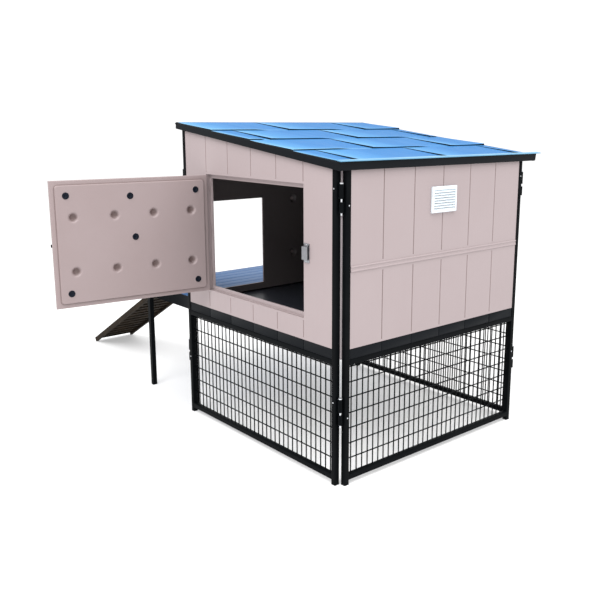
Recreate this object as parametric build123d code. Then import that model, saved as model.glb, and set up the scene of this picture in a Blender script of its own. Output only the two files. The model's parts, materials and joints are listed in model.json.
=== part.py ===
from build123d import *
from math import asin, atan2, cos, degrees, hypot, radians, sin, sqrt, tan
import os

# Raised chicken coop: a moulded house on four tube side frames, a mesh run below its floor,
# a single-pitch tiled roof, an access door, a louvred vent, a pop door, a deck and a ramp.
# House frame while building: X along the door side, +Y from the door side to the back, Z up from
# the ground, all in mm. At the end everything moves so that the origin is the bottom centre.

# ---- driving dimensions: frame ----
panel_width = 1219.0        # one side frame, outside its two posts
tube = 26.0                 # square tube
tube_wall = 1.5
corner_gap = 5.0            # between the posts of neighbouring frames
foot_height = 23.0          # bottom rail above the ground
mid_rail_z = 560.0          # underside of the mid rail
skirt_height = 47.0         # black board between mid rail and wall
head_rail = 12.0            # height of the flat rail under the roof
cap_t = 4.0                 # foot cap under a post
cap_plug = 15.0             # part of a cap inside its post
cap_gap = 0.3

# ---- walls ----
wall_t = 28.0
wall_inset = 2.0            # wall face behind the frame's outer plane
fit = 0.5                   # panels between posts
planks = 6
groove = 4.5                # side of the square bar whose corner cuts a V groove
groove_end = 10.0           # plain margin at a groove's end
dimple_r = 25.0             # cone-shaped pit: mouth, bottom, depth
dimple_floor_r = 8.0
dimple_depth = 15.0
dimple_low = 194.0          # rows of pits above the wall's foot
dimple_high = 516.0
skirt_t = 20.0
floor_t = 40.0
floor_gap = 1.5             # floor edge to wall
strip_clear = 1.0           # strip's edge to the walls
strip_t = 3.0

# ---- wire mesh ----
wire = 6.0
mesh_pitch = 34.6
mesh_row_pitch = 71.7
mesh_row_top = 13.0         # first row below the mid rail
mesh_side = 6.0             # wires stay this far from the posts

# ---- corner couplers ----
lug_r = 9.0
lug_tab = 6.0
lug_upper = 62.0
lug_space = 13.0
lug_lower = 46.0
coupler_low = 149.0         # lower coupler's top below the mid rail
coupler_high = 714.0        # upper coupler's top above the wall's foot
pin_r = 4.0
pin_gap = 0.2
pin_head_r = 8.0
pin_head_t = 5.0
pin_tail = 10.0
bolt_r = 3.0
bolt_head = 2.5

# ---- roof ----
roof_angle = 6.9            # falls towards the vent side
roof_rise = 864.0           # wall's foot to the underside of the roof board, above the house centre
board_t = 12.0
tile_thin = 4.0
tile_thick = 10.0
eave_over = 12.5            # board edges beyond the frame, along the slope and along Y
ridge_over = 0.5
front_over = 5.5
back_over = 49.5
trim_t = 8.0
trim_drop = 18.0            # trim below the underside of the board
eave_drop = 15.0
lip_t = 5.0
lip_in = 15.0
lip_out = 14.0
lip_front = 16.0
lip_back = 30.0
tile_courses = 4
tile_joint = 2.0
joints_odd = (-0.2625, 0.6563)      # tile joints, as shares of half a panel
joints_even = (-0.8614, 0.0689, 0.9959)
roof_pin_r = 3.0
roof_pin_head_r = 4.5
roof_pin_head = 4.0
roof_pin_length = 16.0
roof_pin_inset = 12.0

# ---- access door ----
door_left = -391.0          # rebate in the door wall
door_right = 393.0
door_lift = 100.0           # rebate above the wall's foot
door_height = 601.0
door_open = 97.0            # stored open, degrees from closed
rebate = 19.0               # depth of a rebate
rebate_step = 20.0          # rebate edge to inner opening edge
leaf_gap = 3.0
leaf_t = 18.0
seal_gap = 1.0
plateau_t = 9.0
plateau_bevel = 5.4
door_hinges = 3
plug_r = 16.0
plug_t = 3.5
plug_stem_r = 5.8
plug_stem = 6.0
plug_inset = 72.0
pit_rise = 127.0            # dimple rows above and below the leaf's middle

# ---- pop door, in the deck-side wall ----
pop_margin = 76.5           # rebate to the post on the door side
pop_width = 400.0
pop_lift = 20.0             # rebate above the wall's foot
pop_height = 531.0
pop_open = 100.0
pop_step = 18.0
pop_hinges = 2
button_length = 56.0
button_width = 16.0
button_t = 5.0
button_gap = 1.0
button_from_edge = 14.0
button_screw_r = 2.5
button_head_r = 4.8
button_head_gap = 0.3

# ---- surface hinges ----
hinge_height = 76.0
hinge_margin = 40.0         # leaf's end to the first hinge
hinge_leaf = 30.0
hinge_t = 2.0
knuckle_r = 5.0
knuckle_gap = 0.3
knuckles = 5
hinge_pin_r = 2.5
running = 0.05
hinge_stand = 0.5           # knuckle off the wall
pin_low = 2.0               # hinge pin below its lowest knuckle
pin_cap = 3.0

# ---- latch and keeper ----
latch_lift = 399.0          # above the wall's foot
latch_length = 68.0
latch_height = 64.0
latch_t = 18.0
latch_margin = 14.0         # case to the leaf's edge
latch_bevel = 3.0
tongue_bevel = 2.1
tongue_show = 17.0          # tongue beyond its case when drawn back
screw_head = 2.0
screw_inset = 8.0
tongue_height = 14.0
tongue_t = 6.0
tongue_length = 65.0
tongue_throw = 27.0
slide_gap = 0.3
tongue_stand = 4.0          # tongue off the leaf's face
knob_r = 10.0
knob_stem_r = 4.0
knob_t = 12.0
keeper_width = 38.0
keeper_height = 87.0
keeper_t = 2.0
keeper_pocket = 55.0
keeper_gap = 2.0
keeper_screw_inset = 7.0

# ---- vent ----
vent_width = 170.0
vent_height = 121.0
vent_lift = 614.0           # middle of the vent above the wall's foot
vent_rim = 10.0
vent_proud = 12.0
vent_rim_top = 16.0
vent_bevel = 2.0
slat_count = 8
slat_tilt = 45.0
vent_screw_inset = 12.0
slat_chord = 15.0
slat_t = 1.6
band_lift = 338.0           # raised band across the vent wall
band_height = 27.0
bead = 9.0                  # height of the bead along each edge of the band
bead_proud = 4.5
bead_bevel = 2.5

# ---- deck ----
deck_reach = 522.5          # outer face of the fascia beyond the frame
deck_margin = 6.5           # panel's edge to the deck's side
deck_rise = 9.0             # deck top above the wall's foot
deck_t = 30.0
fascia_t = 6.0
fascia_height = 72.0
deck_planks = 7

# ---- ramp ----
ramp_width = 292.0
ramp_reach = 1080.0         # hinge to foot, along the ground
ramp_hinge_out = 22.0       # hinge axis beyond the fascia
ramp_hinge_drop = 20.0      # hinge axis below the deck's top
ramp_rail_w = 18.0
ramp_rail_h = 30.0
ramp_board_t = 12.0
ramp_board_sunk = 2.0       # board below the tops of its rails
ramp_board_short = 2.0      # board ends before its rails
ramp_end_gap = 26.0         # board starts this far from the hinge axis
cleat = 12.0
cleats = 9
under_ribs = 18
rib_w = 8.0
rib_h = 6.0
rod_r = 4.0
ear_t = 5.0
ear_gap = 1.0
ear_half = 10.0
rod_past = 4.0              # rod beyond its ears

# ---- inside ----
bearers = 3
bearer_span = 420.0
bracket_t = 3.0
bracket_leg = 40.0
bracket_foot = 26.0
roost_y = 350.0
roost_lift = 317.0
roost_size = 38.0
roost_gap = 0.5
roost_round = 6.0
cup_t = 3.0
cup_depth = 9.0
cup_wall = 6.0

# ---- worked out ----
half = panel_width / 2
face = half + corner_gap + tube
inner = face - tube
bay = half - tube
notch = half + (corner_gap + tube) / 2
wall_face = face - wall_inset
wall_inner = wall_face - wall_t
mid_top = mid_rail_z + tube
wall_z = mid_top + skirt_height
rail_top = foot_height + tube
strip_leg = corner_gap + tube - strip_clear
plank = 2 * bay / planks
slope = tan(radians(roof_angle))
mesh_columns = 1 + 2 * int((bay - mesh_side) / mesh_pitch)
mesh_rows = 1 + int((mid_rail_z - mesh_row_top - rail_top) / mesh_row_pitch)
coupler_tops = (mid_rail_z - coupler_low, wall_z + coupler_high)
roof_under_z = wall_z + roof_rise
above = roof_under_z + half  # higher than any wall or post before the roof trims it
eave_out = face + eave_over
ridge_out = (face + ridge_over) / cos(radians(roof_angle))
front_out = face + front_over
back_out = face + back_over
door_bottom = wall_z + door_lift
door_top = door_bottom + door_height
pop_near = bay - pop_margin
pop_far = pop_near - pop_width
pop_bottom = wall_z + pop_lift
pop_top = pop_bottom + pop_height
latch_z = wall_z + latch_lift
vent_z = wall_z + vent_lift
band_bottom = wall_z + band_lift
band_top = band_bottom + band_height
deck_out = face + deck_reach
deck_half = half - deck_margin
deck_top_z = wall_z + deck_rise
roost_z = wall_z + roost_lift
ramp_centre = (pop_near + pop_far) / 2
far = 3000.0                # beyond everything
past = 1.0                  # cutters run this far past a face
ramp_hinge_x = -(deck_out + ramp_hinge_out)
ramp_hinge_z = deck_top_z - ramp_hinge_drop
ramp_length = sqrt(ramp_reach ** 2 + ramp_hinge_z ** 2 - (ramp_rail_h / 2) ** 2)
ramp_fall = atan2(ramp_hinge_z, ramp_reach)
ramp_angle = degrees(ramp_fall - asin(ramp_rail_h / 2 / hypot(ramp_reach, ramp_hinge_z)))

parts = {}


def block(x0, x1, y0, y1, z0, z1):
    """A box between two corners."""
    return Pos((x0 + x1) / 2, (y0 + y1) / 2, (z0 + z1) / 2) * Box(abs(x1 - x0), abs(y1 - y0), abs(z1 - z0))


def square_tube(x0, x1, y0, y1, z0, z1, along):
    """Square tube: a block with a smaller one taken out along one axis."""
    spare = dict.fromkeys("xyz", tube_wall)
    spare[along] = -past
    hole = block(
        x0 + spare["x"], x1 - spare["x"],
        y0 + spare["y"], y1 - spare["y"],
        z0 + spare["z"], z1 - spare["z"],
    )
    return block(x0, x1, y0, y1, z0, z1) - hole


def upright(x, y, z0, z1, r):
    """A vertical cylinder."""
    return Pos(x, y, (z0 + z1) / 2) * Cylinder(r, z1 - z0)


def crosswise(x, y0, y1, z, r):
    """A cylinder along Y."""
    return Pos(x, (y0 + y1) / 2, z) * Rot(90, 0, 0) * Cylinder(r, abs(y1 - y0))


def side(turn):
    """Places a piece that was built on the door side onto another side."""
    return Rot(0, 0, turn)


roof = Pos(0, 0, roof_under_z) * Rot(0, roof_angle, 0)


def roof_block(u0, u1, v0, v1, w0, w1):
    """A block in the roof's own directions: down the slope, along Y, away from the board."""
    return roof * block(u0, u1, v0, v1, w0, w1)


below_roof = roof_block(-far, far, -far, far, -far, 0)
below_rail = roof_block(-far, far, -far, far, -far, -head_rail)


def plane_z(x):
    """Height of the underside of the roof board at x."""
    return roof_under_z - slope * x


def add(name, *solids):
    parts[name] = Compound(children=list(solids)) if len(solids) > 1 else solids[0]


# ---- side frames ----
turns = {"door": 0, "vent": 90, "back": 180, "deck": 270}


def lug(x, z0, z1):
    """Hinge barrel in a corner notch with its tab to the post."""
    toward = -1 if x > 0 else 1
    barrel = upright(x, -notch, z0, z1, lug_r)
    tab = block(x, x + toward * (notch - half), -notch - lug_tab / 2, -notch + lug_tab / 2, z0, z1)
    return barrel + tab - upright(x, -notch, z0 - past, z1 + past, pin_r + pin_gap)


def side_frame(turn, open_below):
    """Two posts, the rails between them and the coupler lugs."""
    place = side(turn)
    pieces = []
    for x0 in (-half, bay):
        post = square_tube(x0, x0 + tube, -face, -inner, cap_t, above, "z")
        pieces.append((place * post) & below_roof)
    rails = [mid_rail_z] if open_below else [foot_height, mid_rail_z]
    for z0 in rails:
        pieces.append(place * square_tube(-bay, bay, -face, -inner, z0, z0 + tube, "x"))
    if turn in (0, 180):
        layer = roof_block(-far, far, -far, far, -head_rail, 0)
        head = layer & (place * block(-bay, bay, -face, -inner, 0, far))
    else:
        low_x = face if turn == 90 else -inner
        bottom = plane_z(low_x) - head_rail
        head = (place * block(-bay, bay, -face, -inner, bottom, far)) & below_roof
    pieces.append(head)
    for top in coupler_tops:
        pieces.append(place * lug(notch, top - lug_upper, top))
        low = top - lug_upper - lug_space
        pieces.append(place * lug(-notch, low - lug_lower, low))
    return pieces


for name, turn in turns.items():
    add(name + "_side_frame", *side_frame(turn, name == "deck"))


def foot_cap(x, y):
    """A cap that closes a post and stands on the ground."""
    outer = block(x, x + tube, y, y + tube, 0, cap_t)
    gap = tube_wall + cap_gap
    return outer + block(x + gap, x + tube - gap, y + gap, y + tube - gap, cap_t, cap_t + cap_plug)


leg_x = -(deck_out - fascia_t)
leg_y = deck_half - fascia_t
caps = [side(turn) * foot_cap(x0, -face) for turn in turns.values() for x0 in (-half, bay)]
caps += [foot_cap(leg_x, y0) for y0 in (-leg_y, leg_y - tube)]
add("foot_caps", *caps)


def corner_pin(turn, top):
    """Drop pin through the two lugs of one coupler."""
    bottom = top - lug_upper - lug_space - lug_lower - pin_tail
    shaft = upright(notch, -notch, bottom, top, pin_r)
    return side(turn) * (shaft + upright(notch, -notch, top, top + pin_head_t, pin_head_r))


add("corner_pins", *[corner_pin(turn, top) for turn in turns.values() for top in coupler_tops])


def lug_bolt(turn, sign, z):
    """Bolt head on a post's outer face beside a lug."""
    x = sign * (half - tube / 2)
    return side(turn) * crosswise(x, -face - bolt_head, -face, z, bolt_r)


bolts = []
for turn in turns.values():
    for top in coupler_tops:
        bolts.append(lug_bolt(turn, 1, top - lug_upper / 3))
        bolts.append(lug_bolt(turn, -1, top - lug_upper - lug_space - lug_lower / 3))
add("lug_bolts", *bolts)


# ---- wire mesh ----
def mesh_panel(turn):
    """Upright and level wires as one flat grid, on the inner side of a frame."""
    low, high = rail_top, mid_rail_z
    uprights = GridLocations(mesh_pitch, 1, mesh_columns, 1) * Rectangle(wire, high - low)
    middle = (low + high) / 2
    lattice = Sketch() + uprights
    for row in range(mesh_rows):
        z = high - mesh_row_top - row * mesh_row_pitch
        lattice += Pos(0, z - middle) * Rectangle(2 * (bay - mesh_side), wire)
    sheet = extrude(Plane((0, -inner, middle), x_dir=(1, 0, 0), z_dir=(0, -1, 0)) * lattice, wire)
    return side(turn) * sheet


for name in ("door", "vent", "back"):
    add(name + "_side_mesh", mesh_panel(turns[name]))


# ---- walls ----
def v_groove(x, z0, z1):
    """Bar that cuts a V groove in a wall's outer face."""
    return Pos(x, -wall_face, (z0 + z1) / 2) * Rot(0, 0, 45) * Box(groove, groove, z1 - z0)


def cone_pit(x, y, z):
    """Cone that narrows towards -Y from a mouth on the face at y."""
    return Pos(x, y - dimple_depth / 2, z) * Rot(90, 0, 0) * Cone(dimple_r, dimple_floor_r, dimple_depth)


def dimple_rows(z_low, z_high):
    """Shallow round pits on the inner face, one per plank in two rows."""
    rows = []
    for z in (z_low, z_high):
        for column in range(planks):
            x = -bay + plank * (column + 0.5)
            rows.append(cone_pit(x, -wall_inner, z))
    return rows


def wall_blank(turn):
    """Plain wall up to the head rail, already on its side."""
    blank = side(turn) * block(-bay + fit, bay - fit, -wall_face, -wall_inner, wall_z, above)
    if turn in (0, 180):
        return blank & below_rail
    low_x = face if turn == 90 else -inner
    return blank & block(-far, far, -far, far, 0, plane_z(low_x) - head_rail)


def grooves(spans):
    """Cutters for the grooves between planks; spans gives the height ranges for each."""
    cutters = []
    for k in range(1, planks):
        for z0, z1 in spans(-bay + plank * k):
            cutters.append(v_groove(-bay + plank * k, z0, z1))
    return cutters


dimple_z = (wall_z + dimple_low, wall_z + dimple_high)


def door_spans(x):
    return [(wall_z + groove_end, door_bottom - groove_end), (door_top + groove_end, above)]


def rebated(x0, x1, z0, z1, step):
    """Cutter for a rebate in the outer face with a smaller opening through the rest."""
    outer = block(x0, x1, -wall_face - past, -wall_face + rebate, z0, z1)
    through = block(x0 + step, x1 - step, -wall_face, -wall_inner + past, z0 + step, z1 - step)
    return outer + through


door_wall = wall_blank(0) - rebated(door_left, door_right, door_bottom, door_top, rebate_step)
for cutter in grooves(door_spans):
    door_wall -= cutter
add("door_wall", door_wall)

vent_hole_w = vent_width - 2 * vent_rim
vent_hole_h = vent_height - 2 * vent_rim


def vent_spans(x):
    return [(wall_z + groove_end, band_bottom - groove_end), (band_top + groove_end, above)]


vent_cut = block(
    -vent_hole_w / 2, vent_hole_w / 2, -face, 0,
    vent_z - vent_hole_h / 2, vent_z + vent_hole_h / 2,
)
band = block(-bay + fit, bay - fit, -wall_face - wall_inset, -wall_face, band_bottom, band_top)
for z0 in (band_bottom, band_top - bead):
    ridge = block(-bay + fit, bay - fit, -wall_face - bead_proud, -wall_face, z0, z0 + bead)
    outer_edges = ridge.edges().filter_by(Axis.X).group_by(Axis.Y)[0]
    band += chamfer(outer_edges, bead_bevel)
vent_wall = wall_blank(90) + side(90) * band - side(90) * vent_cut
for cutter in grooves(vent_spans) + dimple_rows(*dimple_z):
    vent_wall -= side(90) * cutter
add("vent_wall", vent_wall)

back_wall = wall_blank(180)
for cutter in grooves(lambda x: [(wall_z + groove_end, above)]) + dimple_rows(*dimple_z):
    back_wall -= side(180) * cutter
add("back_wall", back_wall)


def deck_spans(x):
    if pop_far < x < pop_near:
        return [(pop_top + groove_end, above)]
    return [(wall_z + groove_end, above)]


def clear_of_pop(cutter):
    middle = cutter.center()
    return not (pop_far - dimple_r < middle.X < pop_near + dimple_r and middle.Z < pop_top + dimple_r)


deck_wall = wall_blank(270) - side(270) * rebated(pop_far, pop_near, pop_bottom, pop_top, pop_step)
for cutter in grooves(deck_spans) + [pit for pit in dimple_rows(*dimple_z) if clear_of_pop(pit)]:
    deck_wall -= side(270) * cutter
add("deck_wall", deck_wall)


def skirt(turn):
    """Black board below a wall, with short grooves that carry on the planks."""
    inset = wall_face - fit
    board = block(-bay + fit, bay - fit, -inset, -inset + skirt_t, mid_top, wall_z)
    for k in range(1, planks):
        x = -bay + plank * k
        middle = Pos(x, -inset, (mid_top + wall_z) / 2)
        board -= middle * Rot(0, 0, 45) * Box(groove, groove, 2 * skirt_height)
    return side(turn) * board


add("skirt_boards", *[skirt(turn) for turn in turns.values()])


def corner_strip(turn):
    """Angle strip behind the gap between two posts."""
    outside = block(inner - strip_leg, inner, -inner, -inner + strip_leg, mid_top, far)
    inside = block(0, inner - strip_t, -inner + strip_t, 0, mid_top - 1, far + 1)
    return (side(turn) * (outside - inside)) & below_roof


add("corner_strips", *[corner_strip(turn) for turn in turns.values()])

# ---- floor ----
floor_half = min(wall_inner, inner - strip_t) - floor_gap
add("floor_panel", block(-floor_half, floor_half, -floor_half, floor_half, mid_top, mid_top + floor_t))

bearer_x = [(k - (bearers - 1) / 2) * bearer_span for k in range(bearers)]
add("floor_bearers", *[
    square_tube(x - tube / 2, x + tube / 2, -inner, inner, mid_rail_z, mid_top, "y") for x in bearer_x
])


def bracket(x, sign):
    """Angle bracket from a bearer's side to the inner face of the mid rail, above the mesh."""
    x0 = x + tube / 2
    leg = block(x0, x0 + bracket_t, sign * (inner - bracket_leg), sign * inner, mid_rail_z, mid_top)
    foot = block(x0, x0 + bracket_foot, sign * (inner - bracket_t), sign * inner, mid_rail_z, mid_top)
    return leg + foot


def bracket_bolts(x, sign):
    """One bolt head on each leg of a bracket."""
    z = mid_rail_z + tube / 2
    x0 = x + tube / 2 + bracket_t
    along_x = Pos(x0 + bolt_head / 2, sign * (inner - bracket_leg / 2), z) * Rot(0, 90, 0)
    foot_y = sign * (inner - bracket_t)
    bolt_x = x0 + (bracket_foot - bracket_t) / 2
    return [
        along_x * Cylinder(bolt_r, bolt_head),
        crosswise(bolt_x, foot_y - sign * bolt_head, foot_y, z, bolt_r),
    ]


ends_of_bearers = [(x, sign) for x in bearer_x for sign in (-1, 1)]
add("bearer_brackets", *[bracket(x, sign) for x, sign in ends_of_bearers])
add("bearer_bolts", *[bolt for x, sign in ends_of_bearers for bolt in bracket_bolts(x, sign)])

# ---- roof ----
add("roof_board", roof_block(-ridge_out, eave_out, -front_out, back_out, 0, board_t))
top_w = board_t + tile_thick
low_w = board_t + tile_thin
add("front_rake_trim", roof_block(-ridge_out, eave_out, -front_out - trim_t, -front_out, -trim_drop, low_w))
add("back_rake_trim", roof_block(-ridge_out, eave_out, back_out, back_out + trim_t, -trim_drop, low_w))
ends = (-front_out - trim_t, back_out + trim_t)
ridge_trim = roof_block(-ridge_out - trim_t, -ridge_out, ends[0], ends[1], -trim_drop, low_w)
add("ridge_trim", ridge_trim)
eave_board = roof_block(eave_out, eave_out + trim_t, ends[0], ends[1], -eave_drop, top_w)
lip_ends = (ends[0] - lip_front + trim_t, ends[1] + lip_back)
eave_lip = roof_block(eave_out - lip_in, eave_out + lip_out, *lip_ends, top_w, top_w + lip_t)
add("eave_trim", eave_board + eave_lip)

course = (ridge_out + eave_out) / tile_courses


def tile(index, v0, v1):
    """Wedge tile: thin at its upper end, thick at its butt."""
    u0 = -ridge_out + course * index
    u1 = u0 + course
    corners = [(u0, board_t), (u1, board_t), (u1, board_t + tile_thick), (u0, board_t + tile_thin)]
    outline = Polyline(*corners, close=True)
    profile = Plane.XZ * make_face(outline)
    return roof * (Pos(0, v1, 0) * extrude(profile, v1 - v0))


for index in range(tile_courses):
    shares = joints_odd if index % 2 == 0 else joints_even
    edges = [-front_out] + [half * share for share in shares] + [back_out]
    tiles = []
    for left, right in zip(edges[:-1], edges[1:]):
        start = left + (tile_joint / 2 if left != edges[0] else 0)
        stop = right - (tile_joint / 2 if right != edges[-1] else 0)
        tiles.append(tile(index, start, stop))
    add(f"tile_course_{index + 1}", *tiles)

pin_base = -ridge_out - trim_t
roof_pins = []
for v in (ends[0] + roof_pin_inset, ends[1] - roof_pin_inset):
    shaft_at = Pos(pin_base - roof_pin_length / 2, v, board_t / 2)
    shaft = shaft_at * Rot(0, 90, 0) * Cylinder(roof_pin_r, roof_pin_length)
    head_at = Pos(pin_base - roof_pin_length - roof_pin_head / 2, v, board_t / 2)
    head = head_at * Rot(0, 90, 0) * Cylinder(roof_pin_head_r, roof_pin_head)
    roof_pins.append(roof * (shaft + head))
add("roof_pins", *roof_pins)


# ---- hinged leaves: built closed on the door side with the hinge at the left, then swung ----
hinge_y = -(wall_face + hinge_stand + knuckle_r)


def hinge_x(left):
    return left + leaf_gap / 2


def hinge_starts(bottom, top, count):
    """Bottom heights of the hinges, spread evenly between the end margins of a leaf."""
    first = bottom + hinge_margin
    last = top - hinge_margin - hinge_height
    return [first + (last - first) * k / (count - 1) for k in range(count)]


def hinge_plate(left, z0, toward, first):
    """One leaf of a hinge: plate, every other knuckle and its tab. toward is -1 for the wall leaf."""
    x = hinge_x(left)
    clear = knuckle_r + 2 * knuckle_gap
    segment = hinge_height / knuckles
    y0, y1 = -(wall_face + hinge_t), -wall_face
    plate = block(x + toward * clear, x + toward * (clear + hinge_leaf), y0, y1, z0, z0 + hinge_height)
    for k in range(first, knuckles, 2):
        low = z0 + k * segment + knuckle_gap / 2
        high = low + segment - knuckle_gap
        plate += block(x, x + toward * clear, y0, y1, low, high)
        plate += upright(x, hinge_y, low, high, knuckle_r)
    return plate - upright(x, hinge_y, z0 - past, z0 + hinge_height + past, hinge_pin_r + running)


def hinge_pin(left, z0):
    """Pin with a low head at its top."""
    x = hinge_x(left)
    top = z0 + hinge_height
    shaft = upright(x, hinge_y, z0 - pin_low, top, hinge_pin_r)
    return shaft + upright(x, hinge_y, top, top + pin_cap, knuckle_r - 1)


def leaf_blank(left, right, bottom, top, step):
    """Slab in the rebate with a raised plateau through the inner opening."""
    y0 = -wall_face
    y1 = y0 + leaf_t
    slab = block(left + leaf_gap, right - leaf_gap, y0, y1, bottom + leaf_gap, top - leaf_gap)
    inset = step + leaf_gap
    rise = block(left + inset, right - inset, y1, y1 + plateau_t, bottom + inset, top - inset)
    edges = rise.edges().filter_by(Plane.XZ).group_by(Axis.Y)[-1]
    return slab + chamfer(edges, plateau_bevel)


def swung(left, angle):
    """Rotation of a closed leaf about its hinge axis, outwards."""
    x = hinge_x(left)
    return Pos(x, hinge_y, 0) * Rot(0, 0, -angle) * Pos(-x, -hinge_y, 0)


door_swing = swung(door_left, door_open)
leaf_inner = -wall_face + leaf_t + plateau_t
door_leaf = leaf_blank(door_left, door_right, door_bottom, door_top, rebate_step)
door_middle_z = (door_bottom + door_top) / 2
plank_edges = [-bay + plank * k for k in range(1, planks)]
door_grooves = [x for x in plank_edges if door_left + plank / 2 < x < door_right - plank / 2]
for x in door_grooves:
    door_leaf -= v_groove(x, door_bottom + 2 * groove_end, door_top - 2 * groove_end)
plank_middles = [-bay + plank * (k + 0.5) for k in range(planks)]
for x in [x for x in plank_middles if door_left + plug_inset < x < door_right - plug_inset]:
    for z in (door_middle_z - pit_rise, door_middle_z + pit_rise):
        door_leaf -= cone_pit(x, leaf_inner, z)
door_span = door_right - door_left
plug_spots = [
    (door_left + plug_inset, door_top - plug_inset),
    (door_right - plug_inset, door_top - plug_inset),
    (door_left + plug_inset, door_bottom + plug_inset),
    (door_right - plug_inset, door_bottom + plug_inset),
    (door_left + door_span / 2 + plug_inset / 4, door_top - plug_inset * 1.2),
    (door_left + door_span / 2, door_middle_z + plug_r),
]
plugs = []
for x, z in plug_spots:
    door_leaf -= crosswise(x, leaf_inner - plug_stem - past, leaf_inner + past, z, plug_stem_r + cap_gap)
    plug = crosswise(x, leaf_inner - plug_stem, leaf_inner, z, plug_stem_r)
    plugs.append(door_swing * (plug + crosswise(x, leaf_inner, leaf_inner + plug_t, z, plug_r)))
add("door_leaf", door_swing * door_leaf)
add("door_plugs", *plugs)

door_hinge_z = hinge_starts(door_bottom, door_top, door_hinges)
add("door_hinge_wall_leaves", *[hinge_plate(door_left, z, -1, 0) for z in door_hinge_z])
add("door_hinge_door_leaves", *[door_swing * hinge_plate(door_left, z, 1, 1) for z in door_hinge_z])
add("door_hinge_pins", *[hinge_pin(door_left, z) for z in door_hinge_z])

# ---- latch on the leaf's outer face, keeper on the wall ----
latch_end = door_right - leaf_gap - latch_margin
latch_start = latch_end - latch_length
latch_y = -(wall_face + latch_t)
tongue_y1 = -(wall_face + tongue_stand)
tongue_y0 = tongue_y1 - tongue_t
latch_z0, latch_z1 = latch_z - latch_height / 2, latch_z + latch_height / 2
half_tongue = tongue_height / 2
tongue_end = latch_end + tongue_show
knob_x = tongue_end - tongue_length + knob_r
latch_body = block(latch_start, latch_end, latch_y, -wall_face, latch_z0, latch_z1)
latch_body = chamfer(latch_body.edges().filter_by(Axis.Z).group_by(Axis.Y)[0], latch_bevel)
latch_body -= block(
    latch_start - past, latch_end + past, tongue_y0 - slide_gap, tongue_y1 + slide_gap,
    latch_z - half_tongue - slide_gap, latch_z + half_tongue + slide_gap,
)
slot_half = knob_stem_r + slide_gap
latch_body -= block(
    knob_x - slot_half, knob_x + tongue_throw + slot_half, latch_y - past, tongue_y0,
    latch_z - slot_half, latch_z + slot_half,
)
add("latch_body", door_swing * latch_body)
tongue = block(
    tongue_end - tongue_length, tongue_end, tongue_y0, tongue_y1,
    latch_z - half_tongue, latch_z + half_tongue,
)
tongue = chamfer(tongue.edges().filter_by(Axis.Z).group_by(Axis.X)[-1], tongue_bevel)
add("latch_tongue", door_swing * tongue)
knob_y = latch_y - past
knob = crosswise(knob_x, knob_y, tongue_y0, latch_z, knob_stem_r)
knob += crosswise(knob_x, knob_y - knob_t, knob_y, latch_z, knob_r)
add("latch_knob", door_swing * knob)
latch_screws = []
screw_edge = (latch_height - tongue_height) / 4
for x in (latch_start + screw_inset, latch_end - screw_inset):
    for z in (latch_z0 + screw_edge, latch_z1 - screw_edge):
        latch_screws.append(door_swing * crosswise(x, latch_y - screw_head, latch_y, z, bolt_r))
add("latch_screws", *latch_screws)

keeper_x = door_right + keeper_gap
pocket_y0 = tongue_y0 - keeper_gap
pocket_low, pocket_high = latch_z - keeper_pocket / 2, latch_z + keeper_pocket / 2
keeper_x1 = keeper_x + keeper_width
bridge_y = pocket_y0 - keeper_t
keeper_z0, keeper_z1 = latch_z - keeper_height / 2, latch_z + keeper_height / 2
keeper = block(keeper_x, keeper_x1, -wall_face - keeper_t, -wall_face, keeper_z0, keeper_z1)
keeper += block(keeper_x, keeper_x1, bridge_y, pocket_y0, pocket_low - keeper_t, pocket_high + keeper_t)
for z0 in (pocket_low - keeper_t, pocket_high):
    keeper += block(keeper_x, keeper_x1, bridge_y, -wall_face, z0, z0 + keeper_t)
add("keeper", keeper)

# ---- vent louvre ----
vent_z0, vent_z1 = vent_z - vent_height / 2, vent_z + vent_height / 2
outer_ring = block(-vent_width / 2, vent_width / 2, -wall_face - vent_proud, -wall_face, vent_z0, vent_z1)
ring_low = vent_z0 + vent_rim
ring_high = vent_z1 - vent_rim_top
ring_hole = block(-vent_hole_w / 2, vent_hole_w / 2, -wall_face - vent_proud - past, 0, ring_low, ring_high)
vent_ring = chamfer(outer_ring.edges().group_by(Axis.Y)[0], vent_bevel) - ring_hole
add("vent_frame", side(90) * vent_ring)
slat_pitch = (ring_high - ring_low) / slat_count
slats = []
for k in range(slat_count):
    z = ring_low + slat_pitch * (k + 0.5)
    blade_at = Pos(0, -wall_face - vent_proud / 2, z)
    blade = blade_at * Rot(slat_tilt, 0, 0) * Box(vent_hole_w, slat_chord, slat_t)
    slats.append(side(90) * blade)
add("vent_slats", *slats)

# ---- pop door: built mirrored with its hinge at the left, then mirrored onto the deck side ----
pop_left, pop_right = -pop_near, -pop_far
pop_swing = swung(pop_left, pop_open)


def on_deck_side(piece):
    return side(turns["deck"]) * mirror(piece, about=Plane.YZ)


pop_leaf = leaf_blank(pop_left, pop_right, pop_bottom, pop_top, pop_step)
add("pop_door_leaf", on_deck_side(pop_swing * pop_leaf))
pop_hinge_z = hinge_starts(pop_bottom, pop_top, pop_hinges)
add("pop_hinge_wall_leaves", *[on_deck_side(hinge_plate(pop_left, z, -1, 0)) for z in pop_hinge_z])
pop_plates = [pop_swing * hinge_plate(pop_left, z, 1, 1) for z in pop_hinge_z]
add("pop_hinge_door_leaves", *[on_deck_side(plate) for plate in pop_plates])
add("pop_hinge_pins", *[on_deck_side(hinge_pin(pop_left, z)) for z in pop_hinge_z])

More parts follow.
